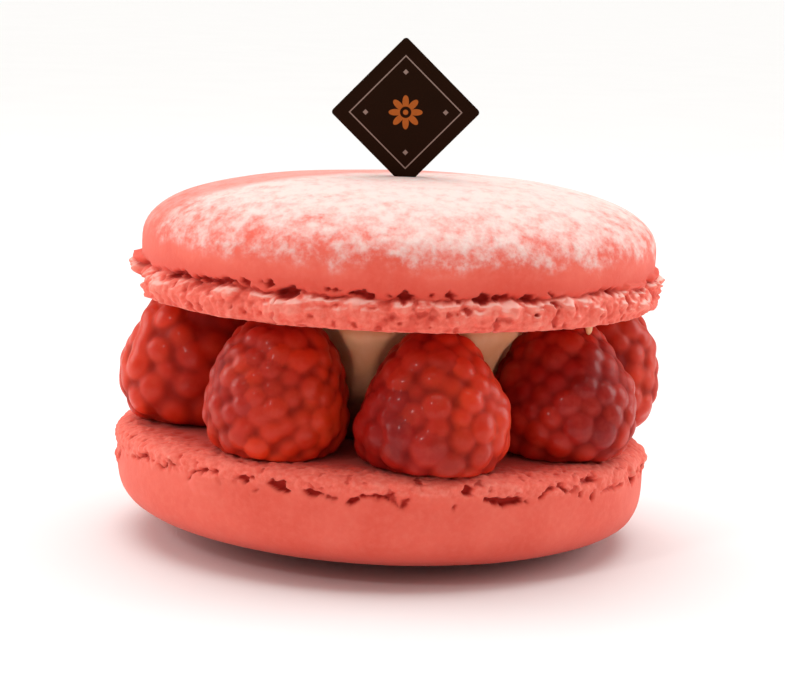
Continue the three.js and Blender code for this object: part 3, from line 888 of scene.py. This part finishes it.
def crust_finish(name, sugared):
    """Baked shell: smooth matt pink dome with faint pores, a crumbly foot with painted highlights on its
    crests, and painted shade in its cracks and pits.
    """
    finish = Finish(name)
    hollow = finish.attribute("hollow")
    foot = finish.attribute("foot")
    raised = finish.attribute("raised")
    mottle = finish.noise(9, 3)
    speckle = finish.noise(0.9, 4, 0.6)
    pink = baked_pink(finish, foot, raised, mottle, speckle)
    if sugared:
        pink = shade_dust_and_highlight(finish, pink, foot, raised, hollow)
    else:
        pink = underside_shade_and_juice(finish, pink, mottle)
    # Painted shade: cracks and pits darken to a deep red.
    pink = finish.mix(hollow.ramp(0.08, 0.95), pink, colour(178, 34, 22))
    grain = finish.noise(0.35, 3, 0.65)
    pores = finish.cells(0.8).ramp(0.0, 0.35)
    relief = finish.bump(grain * 0.6 + pores * 0.25 + speckle * 0.5, 0.06)
    roughness = 0.62 + 0.2 * speckle
    if sugared:
        sugar = sugar_cover(finish)
        pink = finish.mix(sugar, pink, colour(252, 228, 221))
        powder = finish.noise(0.45, 4, 0.7)
        relief = finish.bump(sugar * (0.5 + powder), 0.2, relief)
        roughness = roughness + sugar * 0.15
    finish.set(
        base_color=pink,
        roughness=roughness,
        normal=relief,
        subsurface_weight=0.25,
        subsurface_radius=(0.9, 0.25, 0.18),
        subsurface_scale=1.2 * MM,
        specular_ior_level=0.2,
        sheen_weight=0.12,
        sheen_roughness=0.5,
        sheen_tint=(1.0, 0.8, 0.76, 1.0),
    )
    return finish


def sugar_cover(finish):
    """How much icing sugar lies at each point: thin over the shoulder and at the back, and clumped."""
    squeezed = {0: finish.place, 1: (1, 0.6, 1)}
    drawn_out = finish.node("ShaderNodeVectorMath", {"operation": "MULTIPLY"}, squeezed)
    stray = (finish.noise(6, 3) - 0.5) * 6
    behind = finish.along("Y") - finish.along("X") * SUGAR_BACK_SLOPE + stray
    back = behind.ramp(SUGAR_BACK_START, SUGAR_BACK_END)
    patches = finish.noise(4.5, 3, 0.6) - 0.5
    flecks = finish.noise(1.5, 2.5, 0.5, place=drawn_out) - 0.5
    specks = finish.noise(0.5, 3, 0.7, place=drawn_out) - 0.5
    above = finish.along("Z") - SUGAR_EDGE_Z + patches * 4 + finish.along("X") * SUGAR_EDGE_SLOPE
    cover = (above / SUGAR_GROWTH).higher(0).lower(1) ** 0.85
    uneven = patches * 0.8 + flecks * 1.6 + specks * 0.8
    amount = cover * 0.97 + uneven * above.ramp(-1, 2) * (1.1 - 0.35 * cover)
    return amount.ramp(-0.1, 1.15) * above.ramp(-0.8, 1.5) * (0.92 - 0.62 * back)


def berry_finish():
    """Juicy red skin: darker between drupelets and on each berry's shaded side as painted shade, with a pale
    soft bloom that is partly a painted highlight, and a little gloss on their tops."""
    finish = Finish("berry_skin")
    valley = finish.attribute("valley")
    ripeness_and_shade = finish.attribute("ripeness_and_shade")
    # Riper drupelets are darker, and so are those under painted shade on the berry's shaded side.
    red = finish.mix(ripeness_and_shade, colour(218, 56, 20), colour(138, 14, 10))
    red = finish.mix(finish.noise(5, 2).ramp(0.35, 0.65) * 0.4, red, colour(190, 28, 16))
    # Pale bloom on the drupelets' tops, partly real bloom and partly a painted highlight.
    bloom_and_highlight = finish.noise(1.6, 3, 0.6).ramp(0.4, 0.75)
    red = finish.mix(bloom_and_highlight * (1 - valley) * 0.15, red, colour(224, 90, 72))
    # Painted shade: creases between drupelets darken.
    red = finish.mix(valley.ramp(0.2, 0.8) * 0.6, red, colour(116, 6, 2))
    fine = finish.noise(0.25, 2, 0.6)
    finish.set(
        base_color=red,
        roughness=0.4 + 0.2 * bloom_and_highlight + 0.3 * valley,
        normal=finish.bump(fine, 0.02),
        specular_ior_level=0.15,
        coat_weight=0.22 * (1 - valley.ramp(0.05, 0.5)),
        coat_roughness=0.16,
        subsurface_weight=0.5,
        subsurface_radius=(1.0, 0.12, 0.06),
        subsurface_scale=1.8 * MM,
    )
    return finish


def cream_finish():
    """Pale smooth cream, tinted orange as painted light bounced from the berries, and turning dark red
    towards the bottom as painted shade.
    """
    finish = Finish("pale_cream")
    tone = finish.noise(3, 3)
    # The pale cream is tinted orange as painted bounce light from the berries.
    pale = finish.mix(tone.ramp(0.3, 0.7), colour(236, 172, 124), colour(242, 184, 138))
    # Painted shade: dark red towards the bottom.
    painted_shade = (finish.along("Z") + 3 * tone).ramp(27, 22)
    pale = finish.mix(painted_shade * 0.9, pale, colour(120, 26, 16))
    finish.set(
        base_color=pale,
        roughness=0.42 + 0.16 * tone,
        normal=finish.bump(finish.noise(0.8, 3, 0.5), 0.05),
        subsurface_weight=0.5,
        subsurface_radius=(1.0, 0.7, 0.45),
        subsurface_scale=1.5 * MM,
    )
    return finish


def printed(finish, dark):
    """The dark chocolate with its print: a copper rosette with an eye inside a thin pale square."""
    turn = (0, -math.radians(45 + PLAQUE_TURN), 0)
    centre = Vector((PLAQUE_X * MM, 0, PLAQUE_CENTRE_Z * MM))
    centre.rotate(Matrix.Rotation(turn[1], 3, "Y"))
    values = {"Vector": finish.place, "Location": -centre, "Rotation": turn, "Scale": (1, 1, 1)}
    own = finish.node("ShaderNodeMapping", {}, values)
    x, y, z = (finish.node("ShaderNodeSeparateXYZ", {}, {0: own}, axis) * (1 / MM) for axis in "XYZ")
    front = y.ramp(-PLAQUE_THICKNESS / 2 + 0.02, -PLAQUE_THICKNESS / 2)
    distance = (x * x + z * z) ** 0.5
    angle = x.math("ARCTAN2", z, x)
    petals = abs(x.math("COSINE", angle * 4))
    rosette = (ROSETTE_WAIST + PETAL_LENGTH * petals - distance).ramp(0.0, 0.12)
    rosette = rosette * (distance - ROSETTE_HOLE).ramp(0.0, 0.12)
    eye = (ROSETTE_EYE - distance).ramp(0.0, 0.1)
    line = (LINE_HALF_WIDTH - abs(abs(x).higher(abs(z)) - LINE_PLACE)).ramp(0.0, 0.05)
    from_mark = abs(abs(x) - MARK_PLACE).higher(abs(abs(z) - MARK_PLACE))
    marks = (MARK_HALF_WIDTH - from_mark).ramp(0.0, 0.08)
    wear = 0.75 + 0.25 * finish.noise(0.5, 3, 0.6)
    inked = finish.mix(rosette.higher(eye) * front * wear, dark, colour(188, 100, 42))
    return finish.mix(line.higher(marks) * front * wear, inked, colour(160, 136, 126))


def chocolate_finish():
    """Dark matt chocolate with a print on its front."""
    finish = Finish("dark_chocolate")
    dark = finish.mix(finish.noise(3, 3), colour(30, 12, 2), colour(38, 17, 5))
    finish.set(
        base_color=printed(finish, dark),
        roughness=0.5 + 0.15 * finish.noise(1.5, 3),
        normal=finish.bump(finish.noise(1.2, 3), 0.02),
        specular_ior_level=0.05,
    )
    return finish


def floor_finish():
    finish = Finish("pale_floor")
    tone = finish.noise(60, 2)
    finish.set(base_color=finish.mix(tone, colour(246, 246, 246), colour(250, 250, 250)), roughness=0.6)
    return finish


def make_floor():
    shape = bmesh.new()
    bmesh.ops.create_grid(shape, x_segments=1, y_segments=1, size=20.0)
    floor = bpy.data.objects.new("floor", mesh_from(shape, "floor"))
    bpy.context.scene.collection.objects.link(floor)
    floor.data.materials.append(floor_finish().material)


def turned_to(light, direction):
    light.rotation_euler = Vector(direction).to_track_quat("-Z", "Y").to_euler()
    bpy.context.scene.collection.objects.link(light)


def soft_lamp(name, place, size, power):
    """A round soft lamp that faces the middle of the macaron."""
    data = bpy.data.lights.new(name, "AREA")
    data.shape = "DISK"
    data.size = size
    data.energy = power
    lamp = bpy.data.objects.new(name, data)
    lamp.location = place
    turned_to(lamp, Vector((0, 0, 0.035)) - Vector(place))


def light_the_scene():
    world = bpy.data.worlds.new("studio")
    world.use_nodes = True
    world.node_tree.nodes["Background"].inputs["Color"].default_value = (1.0, 0.96, 0.91, 1)
    world.node_tree.nodes["Background"].inputs["Strength"].default_value = 0.4
    bpy.context.scene.world = world
    overhead = bpy.data.lights.new("overhead", "SUN")
    overhead.energy = 2.3
    overhead.angle = math.radians(70)
    turned_to(bpy.data.objects.new("overhead", overhead), (0, -0.25, -1))
    soft_lamp("left_lamp", (-0.5, 0.15, 0.2), 0.35, 0.95)
    soft_lamp("right_lamp", (0.5, 0.15, 0.2), 0.35, 1.0)
    soft_lamp("glint_lamp", (-0.3, -0.4, 0.35), 0.07, 0.35)
    bpy.context.scene.view_settings.view_transform = "Standard"


def set_camera():
    """Camera turned from looking along +Y by its yaw, down and roll."""
    cos_yaw, sin_yaw = math.cos(CAMERA_YAW), math.sin(CAMERA_YAW)
    cos_down, sin_down = math.cos(CAMERA_DOWN), math.sin(CAMERA_DOWN)
    forward = Vector((sin_yaw * cos_down, cos_yaw * cos_down, -sin_down))
    level_right = Vector((cos_yaw, -sin_yaw, 0))
    level_up = level_right.cross(forward)
    right = math.cos(CAMERA_ROLL) * level_right + math.sin(CAMERA_ROLL) * level_up
    up = -math.sin(CAMERA_ROLL) * level_right + math.cos(CAMERA_ROLL) * level_up
    camera = bpy.data.objects.new("camera", bpy.data.cameras.new("camera"))
    camera.data.sensor_width = SENSOR_WIDTH
    camera.data.lens = CAMERA_FOCAL_PIXELS / PICTURE_WIDTH * SENSOR_WIDTH
    camera.data.clip_start = 0.01
    facing = Matrix((right, up, -forward)).transposed()
    camera.matrix_world = Matrix.Translation(Vector(CAMERA_PLACE) * MM) @ facing.to_4x4()
    bpy.context.scene.collection.objects.link(camera)
    bpy.context.scene.camera = camera


set_camera()
light_the_scene()
make_floor()

piece("upper_crust", shell_mesh("upper_crust", UPPER_SHELL), crust_finish("sugared_crust", True),
      "upper_shell")
piece("lower_crust", shell_mesh("lower_crust", LOWER_SHELL), crust_finish("plain_crust", False),
      "lower_shell")
piece("cream_filling", cream_mesh(), cream_finish(), "cream")
berry_skin = berry_finish()
for number, berry in enumerate(BERRIES, 1):
    piece(f"whole_berry_{number}", berry_mesh(f"whole_berry_{number}", berry, number), berry_skin,
          f"berry_{number}")
piece("plaque_chocolate", plaque_mesh(), chocolate_finish(), "plaque")
